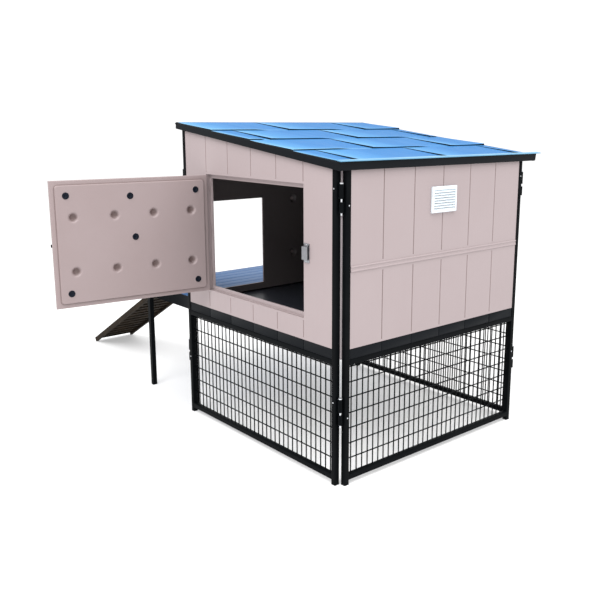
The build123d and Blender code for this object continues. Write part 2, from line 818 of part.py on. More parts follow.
button_x = pop_right + button_from_edge
button_z = (pop_bottom + pop_top) / 2
button_y1 = -(wall_face + button_gap)
button_y0 = button_y1 - button_t
straight = button_length - button_width
turn_button = block(
    button_x - button_width / 2, button_x + button_width / 2, button_y0, button_y1,
    button_z - straight / 2, button_z + straight / 2,
)
for z in (button_z - straight / 2, button_z + straight / 2):
    turn_button += crosswise(button_x, button_y0, button_y1, z, button_width / 2)
turn_button -= crosswise(button_x, button_y0 - past, button_y1 + past, button_z, button_screw_r + running)
add("turn_button", on_deck_side(turn_button))

# ---- screws in the walls ----
keeper_screws = []
for z in (keeper_z0 + keeper_screw_inset, keeper_z1 - keeper_screw_inset):
    x = keeper_x + keeper_width / 2
    y = -wall_face - keeper_t
    keeper_screws.append(crosswise(x, y - screw_head, y, z, bolt_r))
vent_screws = []
for sign in (-1, 1):
    y = -wall_face - vent_proud
    for z in (vent_z0 + vent_rim / 2, vent_z1 - vent_rim_top / 2):
        x = sign * (vent_width / 2 - vent_screw_inset)
        vent_screws.append(side(90) * crosswise(x, y - screw_head, y, z, bolt_r - 1))
head_y = button_y0 - button_head_gap
pivot = crosswise(button_x, head_y, -wall_face, button_z, button_screw_r)
pivot += crosswise(button_x, head_y - screw_head, head_y, button_z, button_head_r)
add("wall_screws", *keeper_screws, *vent_screws, on_deck_side(pivot))

# ---- deck ----
rail_z1 = deck_top_z - deck_t
rail_z0 = rail_z1 - tube
rails = []
for y0 in (-leg_y, leg_y - tube):
    rails.append(square_tube(leg_x + tube, -face, y0, y0 + tube, rail_z0, rail_z1, "x"))
for x0 in (leg_x, -face - tube):
    rails.append(square_tube(x0, x0 + tube, -leg_y + tube, leg_y - tube, rail_z0, rail_z1, "y"))
add("deck_frame", *rails)
leg_ys = (-leg_y, leg_y - tube)
legs = [square_tube(leg_x, leg_x + tube, y0, y0 + tube, cap_t, rail_z1, "z") for y0 in leg_ys]
add("deck_legs", *legs)
deck_inner = face + fit
deck_top = block(leg_x, -deck_inner, -leg_y, leg_y, rail_z1, deck_top_z)
deck_plank = (deck_out - fascia_t - deck_inner) / deck_planks
for k in range(1, deck_planks):
    x = -deck_inner - deck_plank * k
    deck_top -= Pos(x, 0, deck_top_z) * Rot(0, 45, 0) * Box(groove, 2 * deck_half, groove)
add("deck_top", deck_top)
fascia_low = deck_top_z - fascia_height
fascia = []
for sign in (-1, 1):
    fascia.append(block(leg_x, -deck_inner, sign * leg_y, sign * deck_half, fascia_low, deck_top_z))
fascia.append(block(-deck_out, leg_x, -deck_half, deck_half, fascia_low, deck_top_z))
add("deck_fascia", *fascia)

# ---- ramp: built level from its hinge towards -X, then tilted down ----
ramp_y0 = -(ramp_centre + ramp_width / 2)
ramp_y1 = -(ramp_centre - ramp_width / 2)
ramp_place = Pos(ramp_hinge_x, 0, ramp_hinge_z) * Rot(0, -ramp_angle, 0)
half_rail = ramp_rail_h / 2
ramp_rails = []
for y0 in (ramp_y0, ramp_y1 - ramp_rail_w):
    y1 = y0 + ramp_rail_w
    rail = block(-ramp_length, 0, y0, y1, -half_rail, half_rail)
    rail += crosswise(0, y0, y1, 0, half_rail)
    rail -= crosswise(0, y0 - past, y1 + past, 0, rod_r + running)
    ramp_rails.append(ramp_place * rail)
add("ramp_rails", *ramp_rails)
board_y0, board_y1 = ramp_y0 + ramp_rail_w, ramp_y1 - ramp_rail_w
board_low = half_rail - ramp_board_t - ramp_board_sunk
ramp_board = block(
    -ramp_length + ramp_board_short, -ramp_end_gap, board_y0, board_y1,
    board_low, board_low + ramp_board_t,
)
rib_pitch = (ramp_length - ramp_end_gap) / under_ribs
for k in range(under_ribs):
    x = -ramp_end_gap - rib_pitch * (k + 0.5)
    ramp_board += block(x - rib_w / 2, x + rib_w / 2, board_y0, board_y1, board_low - rib_h, board_low)
add("ramp_board", ramp_place * ramp_board)
cleat_pitch = (ramp_length - ramp_end_gap) / cleats
cleat_low = board_low + ramp_board_t
add("ramp_cleats", *[
    ramp_place * block(x - cleat / 2, x + cleat / 2, board_y0, board_y1, cleat_low, cleat_low + cleat)
    for x in [-ramp_end_gap - cleat_pitch * (k + 0.5) for k in range(cleats)]
])
ear_ys = [(ramp_y0 - ear_gap - ear_t, ramp_y0 - ear_gap), (ramp_y1 + ear_gap, ramp_y1 + ear_gap + ear_t)]
ears = []
for y0, y1 in ear_ys:
    ear = block(ramp_hinge_x, -deck_out, y0, y1, ramp_hinge_z - ear_half, ramp_hinge_z + ear_half)
    ear += crosswise(ramp_hinge_x, y0, y1, ramp_hinge_z, ear_half)
    ears.append(ear - crosswise(ramp_hinge_x, y0 - past, y1 + past, ramp_hinge_z, rod_r + running))
add("ramp_ears", *ears)
rod_y0, rod_y1 = ear_ys[0][0] - rod_past, ear_ys[1][1] + rod_past
add("ramp_rod", crosswise(ramp_hinge_x, rod_y0, rod_y1, ramp_hinge_z, rod_r))

# ---- roost ----
bar_half = wall_inner - cup_t
r0, r1 = roost_z - roost_size / 2, roost_z + roost_size / 2
bar = block(-bar_half, bar_half, roost_y - roost_size / 2, roost_y + roost_size / 2, r0, r1)
add("roost_bar", fillet(bar.edges().filter_by(Axis.X), roost_round))
cups = []
seat = roost_size / 2 + roost_gap
for sign in (-1, 1):
    x0, x1 = sign * (wall_inner - cup_t - cup_depth), sign * wall_inner
    cup = block(x0, x1, roost_y - seat - cup_wall, roost_y + seat + cup_wall, r0 - cup_wall, r1)
    seat_x = (x0 - sign * past, sign * (wall_inner - cup_t))
    cup -= block(*seat_x, roost_y - seat, roost_y + seat, r0, r1 + past)
    cups.append(cup)
add("roost_cups", *cups)

# ---- origin: bottom centre of everything at rest ----
boxes = [shape.bounding_box() for shape in parts.values()]
low = [min(getattr(box.min, axis) for box in boxes) for axis in "XYZ"]
high = [max(getattr(box.max, axis) for box in boxes) for axis in "XYZ"]
shift = Pos(-(low[0] + high[0]) / 2, -(low[1] + high[1]) / 2, -low[2])
parts = {name: shift * shape for name, shape in parts.items()}

os.makedirs("parts", exist_ok=True)
for name, shape in parts.items():
    export_step(shape, f"parts/{name}.step")
print(len(parts), "nodes; size", [round(h - l, 1) for l, h in zip(low, high)])
print("moved by", [round(value, 2) for value in tuple(shift.position)])
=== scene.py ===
"""Raised chicken coop: moulded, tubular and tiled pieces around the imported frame."""
import json
import math

import bmesh
import bpy
import numpy as np
from mathutils import Matrix, Vector

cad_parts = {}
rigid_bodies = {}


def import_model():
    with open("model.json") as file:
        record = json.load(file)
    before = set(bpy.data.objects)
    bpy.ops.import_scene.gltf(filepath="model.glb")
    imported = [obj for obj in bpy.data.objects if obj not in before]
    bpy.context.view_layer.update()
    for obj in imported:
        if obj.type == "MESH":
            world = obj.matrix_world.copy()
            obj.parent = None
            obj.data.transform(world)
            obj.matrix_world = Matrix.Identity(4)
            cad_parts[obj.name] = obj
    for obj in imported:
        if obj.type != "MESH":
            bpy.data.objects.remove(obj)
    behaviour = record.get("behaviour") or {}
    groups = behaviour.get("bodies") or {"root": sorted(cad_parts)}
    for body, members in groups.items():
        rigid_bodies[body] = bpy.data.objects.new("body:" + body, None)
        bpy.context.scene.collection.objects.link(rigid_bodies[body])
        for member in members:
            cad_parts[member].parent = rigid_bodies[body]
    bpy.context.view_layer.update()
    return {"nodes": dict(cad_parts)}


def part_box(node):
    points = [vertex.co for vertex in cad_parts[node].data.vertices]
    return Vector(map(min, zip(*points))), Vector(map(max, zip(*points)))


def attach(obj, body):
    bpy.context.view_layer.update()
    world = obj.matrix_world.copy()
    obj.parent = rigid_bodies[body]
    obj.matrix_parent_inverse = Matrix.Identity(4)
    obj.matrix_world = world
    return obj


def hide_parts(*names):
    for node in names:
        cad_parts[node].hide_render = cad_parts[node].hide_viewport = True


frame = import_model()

# ---- sizes in mm, as the frame has them ----
# The middle of the house is 0, 0 on the ground; FACE and INNER are a side frame's outer and inner faces.
# SUNK is how far the end of a rail or wire goes into the tube it meets.
PANEL, TUBE, GAP, SUNK = 1219.0, 26.0, 5.0, 1.0
HALF = PANEL / 2
FACE = HALF + GAP + TUBE
INNER = FACE - TUBE
BAY = HALF - TUBE
NOTCH = HALF + (GAP + TUBE) / 2
WALL_SETBACK, WALL_T = 2.0, 28.0
WALL_FACE = FACE - WALL_SETBACK
WALL_INNER = WALL_FACE - WALL_T
FOOT_RAIL, MID_RAIL, SKIRT, FOOT_CAP = 23.0, 560.0, 47.0, 4.0
WALL_FOOT = MID_RAIL + TUBE + SKIRT
PLANKS = 6
PLANK = 2 * BAY / PLANKS
ROOF_TILT, ROOF_RISE = math.radians(6.9), 864.0
ROOF_UNDER = WALL_FOOT + ROOF_RISE
BOARD, TILE_THIN, TILE_THICK = 12.0, 4.0, 10.0
RIDGE = (FACE + 0.5) / math.cos(ROOF_TILT)
EAVE, FRONT, BACK = FACE + 12.5, FACE + 5.5, FACE + 49.5
TRIM, EAVE_DROP = 8.0, 15.0
LIP_IN, LIP_OUT, LIP_T, LIP_FRONT, LIP_BACK = 15.0, 14.0, 5.0, 16.0, 30.0
# Courses are counted down the slope from the ridge; the two sets of tile joints along Y take turns.
COURSES = 4
COURSE = (RIDGE + EAVE) / COURSES
TILE_JOINTS = ((-0.2625 * HALF, 0.6563 * HALF), (-0.8614 * HALF, 0.0689 * HALF, 0.9959 * HALF))
# Coupler barrels: heights of the upper ones' tops, and the lengths of upper barrel, space and lower barrel.
COUPLERS = (MID_RAIL - 149.0, WALL_FOOT + 714.0)
LUG_UPPER, LUG_SPACE, LUG_LOWER = 62.0, 13.0, 46.0
# Wires: thickness, spacing and number of uprights; number, spacing and first drop of level wires.
WIRE, PITCH, COLUMNS, ROWS, ROW_PITCH, ROW_TOP = 6.0, 34.6, 33, 7, 71.7, 13.0
# Leaves: the gap round each, and the opening each fills as seen on its own side of the house.
LEAF_GAP, LEAF_T, PLATEAU, HINGE_STAND = 3.0, 18.0, 9.0, 5.5
HINGE_Y = -(WALL_FACE + HINGE_STAND)
DOOR = dict(left=-391.0, right=393.0, low=WALL_FOOT + 100.0, high=WALL_FOOT + 701.0, step=20.0, open=97.0)
POP = dict(left=76.5 - BAY, right=476.5 - BAY, low=WALL_FOOT + 20.0, high=WALL_FOOT + 551.0, step=18.0,
           open=100.0)
# Plugs and pits in the access door; PIT_RISE is from the leaf's middle height to each row of pits.
PLUG_R, PLUG_INSET = 16.0, 72.0
PIT_R, PIT_FLOOR, PIT_DEPTH, PIT_RISE = 25.0, 8.0, 15.0, 127.0
TURNS = {"door": 0, "vent": 90, "back": 180, "deck": 270}
MM = 0.001
PER_M = 1000.0
# Points closer than this, in metres, are made one.
MERGE = 1e-6

floor_low, floor_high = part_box("floor_panel")
CENTRE = np.array([(floor_low.x + floor_high.x) / 2, (floor_low.y + floor_high.y) / 2, 0.0])


def placed(points):
    """Points in mm from the house's middle on the ground, as metres in the shared frame."""
    return np.asarray(points, float) * MM + CENTRE


def turned(points, degrees):
    """Points turned about the house's upright axis."""
    c, s = math.cos(math.radians(degrees)), math.sin(math.radians(degrees))
    p = np.asarray(points, float)
    return np.stack([p[..., 0] * c - p[..., 1] * s, p[..., 0] * s + p[..., 1] * c, p[..., 2]], -1)


def on_roof(u, v, w):
    """Roof directions to the house: u down the slope, v along Y, w away from the board."""
    c, s = math.cos(ROOF_TILT), math.sin(ROOF_TILT)
    return np.stack(np.broadcast_arrays(u * c + w * s, v, ROOF_UNDER - u * s + w * c), -1)


def eased(t):
    """0 below 0, 1 above 1, and the cubic 3tt - 2ttt between."""
    t = np.clip(t, 0, 1)
    return t * t * (3 - 2 * t)


# ---- surfaces ----
class Skin:
    """Gathers grids of points into one mesh, with a UV pair per point and a finish per face."""

    def __init__(self):
        self.points, self.uvs, self.faces, self.finishes = [], [], [], []
        self.count = 0

    def _take(self, points, uv):
        flat = np.asarray(points, float).reshape(-1, 3)
        self.points.append(flat)
        self.uvs.append(np.zeros((len(flat), 2)) if uv is None else np.asarray(uv, float).reshape(-1, 2))
        start = self.count
        self.count += len(flat)
        return start

    def grid(self, points, uv=None, around=False, finish=0, flip=False):
        """points[i, j] makes a quad per cell that faces along the cross product of i and j."""
        rows, columns = points.shape[:2]
        start = self._take(points, uv)
        i, j = np.meshgrid(np.arange(rows - 1), np.arange(columns if around else columns - 1), indexing="ij")
        after = (j + 1) % columns
        quads = start + np.stack(
            [i * columns + j, (i + 1) * columns + j, (i + 1) * columns + after, i * columns + after], -1
        ).reshape(-1, 4)
        if flip:
            quads = quads[:, ::-1]
        self.faces.extend(quads.tolist())
        self.finishes.append(np.full(len(quads), finish))

    def cap(self, ring, flip):
        """One face across a closed ring of points."""
        start = self._take(ring, None)
        face = list(range(start, start + len(ring)))
        self.faces.append(face[::-1] if flip else face)
        self.finishes.append(np.zeros(1))

    def build(self, name, materials, body, replaces, smooth_below=40.0):
        """Mesh object of the gathered faces, riding on a body in place of a frame node."""
        mesh = bpy.data.meshes.new(name)
        mesh.from_pydata(np.concatenate(self.points).tolist(), [], self.faces)
        layer = mesh.uv_layers.new(name="UVMap")
        index = np.zeros(len(mesh.loops), int)
        mesh.loops.foreach_get("vertex_index", index)
        layer.data.foreach_set("uv", np.concatenate(self.uvs)[index].ravel())
        mesh.polygons.foreach_set("material_index", np.concatenate(self.finishes).astype(int))
        work = bmesh.new()
        work.from_mesh(mesh)
        bmesh.ops.remove_doubles(work, verts=work.verts, dist=MERGE)
        work.to_mesh(mesh)
        work.free()
        return as_piece(name, mesh, materials, body, replaces, smooth_below)


def as_piece(name, mesh, materials, body, replaces, smooth_below):
    """Links a mesh as a piece of the object."""
    piece = bpy.data.objects.new(name, mesh)
    bpy.context.scene.collection.objects.link(piece)
    for finish in materials:
        mesh.materials.append(finish.material)
    mesh.shade_smooth()
    mesh.set_sharp_from_angle(angle=math.radians(smooth_below))
    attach(piece, body)
    if replaces:
        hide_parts(replaces)
    return piece


def rounded_outline(width, height, radius):
    """A rectangle with quarter-circle corners, anticlockwise, as an array of pairs."""
    corner_points = 5
    quarter = np.linspace(0, math.pi / 2, corner_points)
    corners = []
    for turn, (sx, sy) in enumerate(((1, 1), (-1, 1), (-1, -1), (1, -1))):
        a = quarter + turn * math.pi / 2
        corners.append(np.stack([
            sx * (width / 2 - radius) + radius * np.cos(a),
            sy * (height / 2 - radius) + radius * np.sin(a),
        ], -1))
    return np.concatenate(corners)


def bar(skin, start, end, width, height, radius, place, top=None):
    """A rounded outline carried straight from start to end; top(x) gives the heights of a sloped upper cut.

    place turns the points, in mm, into metres.
    """
    start, end = np.array(start, float), np.array(end, float)
    along = (end - start) / np.linalg.norm(end - start)
    upright = abs(along[2]) > 0.9
    side = np.array([1.0, 0, 0]) if upright else np.cross(along, [0, 0, 1.0])
    up = np.cross(side, along)
    outline = rounded_outline(width, height, radius)
    ring = outline[:, :1] * side + outline[:, 1:] * up
    rings = np.stack([start + ring, end + ring])
    if top is not None:
        rings[1, :, 2] = top(rings[1])
    facing = np.dot(np.cross(side, up), along) > 0
    rings = place(rings)
    skin.grid(rings, around=True, flip=facing)
    skin.cap(rings[0], flip=facing)
    skin.cap(rings[1], flip=not facing)


def lathe(skin, outline, place, steps=24, closed=True):
    """Outline of (radius, height) pairs turned about the upright axis; place moves the points."""
    angles = np.linspace(0, 2 * math.pi, steps, endpoint=False)
    r, z = np.array(outline, float).T
    if closed:
        r, z = np.append(r, r[0]), np.append(z, z[0])
    points = np.stack(np.broadcast_arrays(
        r[:, None] * np.cos(angles), r[:, None] * np.sin(angles), z[:, None] + 0 * angles), -1)
    skin.grid(place(points), around=True, flip=True)


def softened(node, width, materials, body):
    """The frame's own shape with its edges rounded by the given width in mm."""
    edge_angle, flat_angle, segments = 30, 0.5, 2
    mesh = frame["nodes"][node].data.copy()
    mesh.name = node + "_soft"
    mesh.materials.clear()
    work = bmesh.new()
    work.from_mesh(mesh)
    bmesh.ops.remove_doubles(work, verts=work.verts, dist=MERGE)
    bmesh.ops.dissolve_limit(work, angle_limit=math.radians(flat_angle), verts=work.verts, edges=work.edges)
    work.to_mesh(mesh)
    work.free()
    piece = as_piece(node + "_soft", mesh, materials, body, node, edge_angle)
    bevel = piece.modifiers.new("edges", "BEVEL")
    bevel.width = width * MM
    bevel.segments = segments
    bevel.limit_method = "ANGLE"
    bevel.angle_limit = math.radians(edge_angle)
    bevel.harden_normals = True


# ---- shading ----
class Value:
    """A number socket whose Python operators add Math nodes."""

    def __init__(self, finish, socket):
        self.finish, self.socket = finish, socket

    def _with(self, operation, first, second=None, clamp=False):
        inputs = {0: first} if second is None else {0: first, 1: second}
        node = self.finish.node("ShaderNodeMath", {"operation": operation, "use_clamp": clamp}, inputs)
        return Value(self.finish, node.outputs[0])

    def __add__(self, other): return self._with("ADD", self, other)
    def __sub__(self, other): return self._with("SUBTRACT", self, other)
    def __rsub__(self, other): return self._with("SUBTRACT", other, self)
    def __mul__(self, other): return self._with("MULTIPLY", self, other)
    def __radd__(self, other): return self._with("ADD", other, self)
    def __rmul__(self, other): return self._with("MULTIPLY", other, self)
    def above(self, other): return self._with("GREATER_THAN", self, other)
    def below(self, other): return self._with("LESS_THAN", self, other)
    def most(self, other): return self._with("MAXIMUM", self, other)
    def size(self): return self._with("ABSOLUTE", self)

    def ramp(self, low, high):
        """0 at low, 1 at high, straight between them and held beyond."""
        return self._with("MULTIPLY", self - low, 1.0 / (high - low), clamp=True)


class Finish:
    """A material with one Principled shader; everything else comes from node()."""

    def __init__(self, name, **sockets):
        self.material = bpy.data.materials.new(name)
        self.material.use_nodes = True
        self.tree = self.material.node_tree
        self.tree.nodes.clear()
        self.shader = self.node("ShaderNodeBsdfPrincipled")
        self.node("ShaderNodeOutputMaterial", {}, {"Surface": self.shader.outputs[0]})
        self.set(**sockets)

    def node(self, kind, settings=None, inputs=None):
        made = self.tree.nodes.new(kind)
        for key, value in (settings or {}).items():
            if key == "stops":
                ramp = made.color_ramp
                while len(ramp.elements) < len(value):
                    ramp.elements.new(0.5)
                for element, (position, colour) in zip(ramp.elements, value):
                    element.position = position
                    element.color = (*colour, 1)
            else:
                setattr(made, key, value)
        for key, value in (inputs or {}).items():
            self.feed(made.inputs[key], value)
        return made

    def feed(self, socket, value):
        if isinstance(value, Value):
            self.tree.links.new(value.socket, socket)
        elif isinstance(value, bpy.types.NodeSocket):
            self.tree.links.new(value, socket)
        elif socket.type == "RGBA":
            socket.default_value = (*value, 1.0)
        else:
            socket.default_value = value

    def set(self, **sockets):
        for key, value in sockets.items():
            self.feed(self.shader.inputs[key.replace("_", " ")], value)

    def place(self):
        """Object coordinates, in metres."""
        return self.node("ShaderNodeTexCoord").outputs["Object"]

    def split(self, vector):
        parts = self.node("ShaderNodeSeparateXYZ", {}, {0: vector})
        return [Value(self, parts.outputs[k]) for k in range(3)]

    def scaled(self, vector, amounts):
        made = self.node("ShaderNodeVectorMath", {"operation": "MULTIPLY"}, {0: vector, 1: amounts})
        return made.outputs[0]

    def noise(self, vector, scale, detail, roughness):
        made = self.node("ShaderNodeTexNoise", {}, {
            "Vector": vector, "Scale": scale, "Detail": detail, "Roughness": roughness})
        return Value(self, made.outputs[0])

    def mix(self, factor, first, second):
        made = self.node("ShaderNodeMix", {"data_type": "RGBA"}, {0: factor, 6: first, 7: second})
        return made.outputs[2]

    def colours(self, factor, stops):
        return self.node("ShaderNodeValToRGB", {"stops": stops}, {0: factor}).outputs[0]

    def bump(self, height, distance, strength):
        made = self.node("ShaderNodeBump", {}, {"Height": height, "Distance": distance, "Strength": strength})
        return made.outputs[0]

    def house(self):
        """x, y, z in mm from the house's middle on the ground."""
        x, y, z = self.split(self.place())
        return (x - float(CENTRE[0])) * PER_M, (y - float(CENTRE[1])) * PER_M, z * PER_M

    def uv(self):
        """The piece's own UV pair, U and V."""
        return self.split(self.node("ShaderNodeUVMap", {"uv_map": "UVMap"}).outputs[0])[:2]


def moulded(name, colour, shade, rough, gloss=0.5, cloud=2.2, hollow=None):
    """Moulded plastic: slow clouds of a second tone, a fine grain, and roughness that follows both.

    With a hollow colour, painted shade darkens the piece towards it where the piece's own UV rises: U for
    pits, V for creases.
    """
    grain, grain_depth = 260.0, 0.00012
    cloud_share, grain_share, pit_share, crease_share = 0.6, 0.12, 0.72, 0.5
    finish = Finish(name, Specular_IOR_Level=gloss)
    here = finish.place()
    clouds = finish.noise(here, cloud, 4.0, 0.55).ramp(0.32, 0.68)
    fine = finish.noise(here, grain, 3.0, 0.6)
    base = finish.mix(clouds * cloud_share, colour, shade)
    base = finish.mix(fine.ramp(0.35, 0.75) * grain_share, base, shade)
    if hollow:
        pit, crease = finish.uv()
        # Painted shade: the pits and the crease at the plateau's foot are darkened where shade falls.
        pit_and_crease_shade = (pit * pit_share).most(crease * crease_share)
        base = finish.mix(pit_and_crease_shade * (fine * 0.3 + 0.85), base, hollow)
    finish.set(Base_Color=base, Roughness=rough + (clouds - 0.5) * 0.08 + (fine - 0.5) * 0.1)
    finish.set(Normal=finish.bump(fine, grain_depth, 0.6))
    return finish


def wall_finish(name, colour, shade, inside):
    """Pale moulding: faint upright wood grain, V grooves darkened with painted shade, and painted shade as a
    dark tone on every face turned inwards.
    """
    cloud_share, grain_share, groove_shade_share = 0.5, 0.14, 0.75
    groove_shade_tone, groove_floor, groove_side, groove_mouth = (0.13, 0.085, 0.075), 4.0, 2.4, 0.4
    skin_depth, reveal, turned_in = 0.6, 13.0, -150.0
    finish = Finish(name, Specular_IOR_Level=0.32)
    here = finish.place()
    x, y, _ = finish.house()
    clouds = finish.noise(here, 1.7, 3.0, 0.5).ramp(0.3, 0.7)
    grain = finish.noise(finish.scaled(here, (90.0, 90.0, 5.0)), 1.0, 5.0, 0.65)
    fine = finish.noise(here, 420.0, 2.0, 0.5)
    base = finish.mix(clouds * cloud_share, colour, shade)
    base = finish.mix(grain.ramp(0.45, 0.8) * grain_share, base, shade)
    out = x.size().most(y.size())
    proud = out.ramp(WALL_FACE - groove_side, WALL_FACE - groove_mouth)
    groove = (1.0 - proud) * out.above(WALL_FACE - groove_floor)
    # Painted shade: the colour darkens inside the V grooves, where shade falls.
    base = finish.mix(groove * groove_shade_share, base, groove_shade_tone)
    facing = finish.split(finish.node("ShaderNodeNewGeometry").outputs["Normal"])
    on_x = x.size().above(y.size())
    outward = (facing[0] * x) * on_x + (facing[1] * y) * (1.0 - on_x)
    # Painted shade: faces turned inwards and the inner skin take a dark tone for the shade inside the house.
    inner_painted_shade = outward.below(turned_in).most(out.below(WALL_INNER + skin_depth))
    base = finish.mix(inner_painted_shade * out.below(WALL_INNER + reveal), base, inside)
    finish.set(Base_Color=base, Roughness=0.48 + (grain - 0.5) * 0.14 + (clouds - 0.5) * 0.06)
    finish.set(Normal=finish.bump(grain * 0.7 + fine * 0.3, 0.00022, 0.5))
    return finish


def metal(name, colour, rough):
    """Bright plated steel: fine drawn lines and a patchy plating tone."""
    drawn, patch_share, patch_tone = (40.0, 40.0, 900.0), 0.35, 0.72
    finish = Finish(name, Metallic=1.0)
    here = finish.place()
    lines = finish.noise(finish.scaled(here, drawn), 1.0, 4.0, 0.6)
    patches = finish.noise(here, 60.0, 3.0, 0.5).ramp(0.35, 0.7)
    base = finish.mix(patches * patch_share, colour, tuple(c * patch_tone for c in colour))
    finish.set(Base_Color=base, Roughness=rough + lines * 0.16 + patches * 0.08)
    finish.set(Normal=finish.bump(lines, 0.00005, 0.5))
    return finish


def coated(name, colour, rough):
    """Powder coat on tube: orange-peel texture, with a slow change of tone."""
    finish = Finish(name, Specular_IOR_Level=0.025)
    here = finish.place()
    peel = finish.noise(here, 330.0, 2.0, 0.45)
    clouds = finish.noise(here, 6.0, 4.0, 0.55).ramp(0.35, 0.7)
    base = finish.mix(clouds * 0.5, colour, tuple(c * 1.7 + 0.001 for c in colour))
    finish.set(Base_Color=base, Roughness=rough + clouds * 0.10 + (peel - 0.5) * 0.1)
    finish.set(Normal=finish.bump(peel, 0.00012, 0.5))
    return finish


def tile_finish(name):
    """Black tile under a painted blue sky reflection: painted highlights on the edges, a deeper middle,
    streaks down the slope, dark joints between tiles.

    UV is (down, across), with 2 added to across on tiles whose near side meets another tile.
    """
    # Painted reflection: the tile is black, and these blue tones stand for the sky seen in its gloss.
    sky_reflection_tones = [(0.0, (0.115, 0.31, 0.54)), (0.35, (0.056, 0.215, 0.44)), (0.75, (0.036, 0.170, 0.40)),
             (1.0, (0.028, 0.150, 0.37))]
    edge_highlight_tone, edge_highlight_share, joint_tone = (0.18, 0.36, 0.50), 0.6, (0.010, 0.016, 0.030)
    finish = Finish(name, Specular_IOR_Level=0.04)
    down, across = finish.uv()
    inner = across.above(1.5)
    b = across - inner * 2.0
    here = finish.place()
    streak = finish.noise(finish.scaled(here, (3.0, 26.0, 3.0)), 1.0, 5.0, 0.6)
    fine = finish.noise(here, 180.0, 4.0, 0.6)
    clouds = finish.noise(here, 2.6, 3.0, 0.5).ramp(0.3, 0.7)
    middle = b.ramp(0.0, 0.45) * (1.0 - down.ramp(0.80, 1.0) * 0.5)
    tone = (middle * 0.75 + clouds * 0.25 + (streak - 0.5) * 0.25).ramp(0.05, 0.9)
    base = finish.colours(tone, sky_reflection_tones)
    # Painted highlight along the butt and the free near side.
    edge = down.ramp(0.955, 0.99).most(1.0 - b.ramp(0.008, 0.03)) * (1.0 - inner)
    base = finish.mix(edge * edge_highlight_share, base, edge_highlight_tone)
    base = finish.mix(inner * (1.0 - b.ramp(0.003, 0.007)), base, joint_tone)
    finish.set(Base_Color=base, Roughness=0.46 + (fine - 0.5) * 0.2 + (streak - 0.5) * 0.1)
    finish.set(Normal=finish.bump(fine * 0.5 + streak * 0.5, 0.0005, 0.5))
    return finish


def wood_finish(name):
    """Planed softwood along X: long rings and fine pores."""
    finish = Finish(name, Roughness=0.6)
    here = finish.place()
    rings = finish.noise(finish.scaled(here, (2.0, 46.0, 46.0)), 1.0, 4.0, 0.6)
    pores = finish.noise(finish.scaled(here, (30.0, 420.0, 420.0)), 1.0, 2.0, 0.5)
    base = finish.colours(rings, [
        (0.25, (0.62, 0.43, 0.24)), (0.5, (0.52, 0.34, 0.18)), (0.75, (0.38, 0.22, 0.10))])
    base = finish.mix(pores.ramp(0.55, 0.8) * 0.4, base, (0.22, 0.12, 0.06))
    finish.set(Base_Color=base, Normal=finish.bump(rings * 0.5 + pores * 0.5, 0.0004, 0.5))
    return finish


def deck_finish(name):
    """Deck boards under a painted blue sky reflection: tone changes from board to board, scuffs, a fine grain
    along Y.
    """
    finish = Finish(name, Specular_IOR_Level=0.15)
    here = finish.place()
    boards = finish.noise(finish.scaled(here, (13.0, 0.4, 0.0)), 1.0, 1.0, 0.4)
    scuffs = finish.noise(here, 22.0, 6.0, 0.7)
    grain = finish.noise(finish.scaled(here, (240.0, 12.0, 240.0)), 1.0, 4.0, 0.6)
    # Painted reflection: the blue tones stand for the sky seen in the black deck's gloss.
    base = finish.mix(boards.ramp(0.35, 0.65), (0.040, 0.122, 0.295), (0.068, 0.165, 0.36))
    base = finish.mix(scuffs.ramp(0.52, 0.75) * 0.35, base, (0.17, 0.27, 0.42))
    base = finish.mix(grain.ramp(0.5, 0.8) * 0.2, base, (0.035, 0.09, 0.20))
    finish.set(Base_Color=base, Roughness=0.42 + (scuffs - 0.5) * 0.25)
    finish.set(Normal=finish.bump(grain, 0.0003, 0.5))
    return finish


def ramp_finish(name):
    """Weathered brown tread: blotches and a ribbed grain across the walk."""
    finish = Finish(name, Specular_IOR_Level=0.06)
    here = finish.place()
    blotches = finish.noise(here, 11.0, 5.0, 0.65)
    grain = finish.noise(finish.scaled(here, (150.0, 8.0, 150.0)), 1.0, 3.0, 0.6)
    base = finish.colours(blotches, [
        (0.3, (0.011, 0.0075, 0.0045)), (0.5, (0.019, 0.013, 0.008)), (0.72, (0.037, 0.026, 0.016))])
    base = finish.mix(grain.ramp(0.5, 0.8) * 0.3, base, (0.010, 0.008, 0.006))
    finish.set(Base_Color=base, Roughness=0.62 + (blotches - 0.5) * 0.2)
    finish.set(Normal=finish.bump(grain, 0.0004, 0.6))
    return finish


PINK, PINK_SHADE = (0.338, 0.280, 0.284), (0.312, 0.254, 0.257)
# Painted shade: the first tone here darkens the walls' faces turned inwards.
# Painted shade: the last tone here darkens the leaf's pits and creases.
WALL_INSIDE_SHADE, LEAF_PAINTED_SHADE = (0.115, 0.100, 0.102), (0.075, 0.040, 0.034)

wall = wall_finish("wall_moulding", PINK, PINK_SHADE, WALL_INSIDE_SHADE)
leaf = moulded("leaf_moulding", (0.290, 0.232, 0.233), (0.268, 0.209, 0.207), 0.42, 0.35, 3.0, LEAF_PAINTED_SHADE)
leaf_outside = moulded("leaf_outer_moulding", PINK, PINK_SHADE, 0.46, 0.32, 1.7)
strip = moulded("corner_strip_moulding", (0.36, 0.32, 0.33), (0.30, 0.26, 0.27), 0.45, 0.2)
black = moulded("black_moulding", (0.005, 0.006, 0.0075), (0.009, 0.0105, 0.013), 0.40, 0.05)
floor_black = moulded("floor_moulding", (0.018, 0.020, 0.027), (0.027, 0.030, 0.041), 0.36, 0.25)
plug_black = moulded("plug_moulding", (0.004, 0.006, 0.011), (0.008, 0.011, 0.018), 0.38, 0.08)
ramp_brown = ramp_finish("ramp_moulding")
coat = coated("black_powder_coat", (0.0026, 0.0032, 0.0038), 0.28)
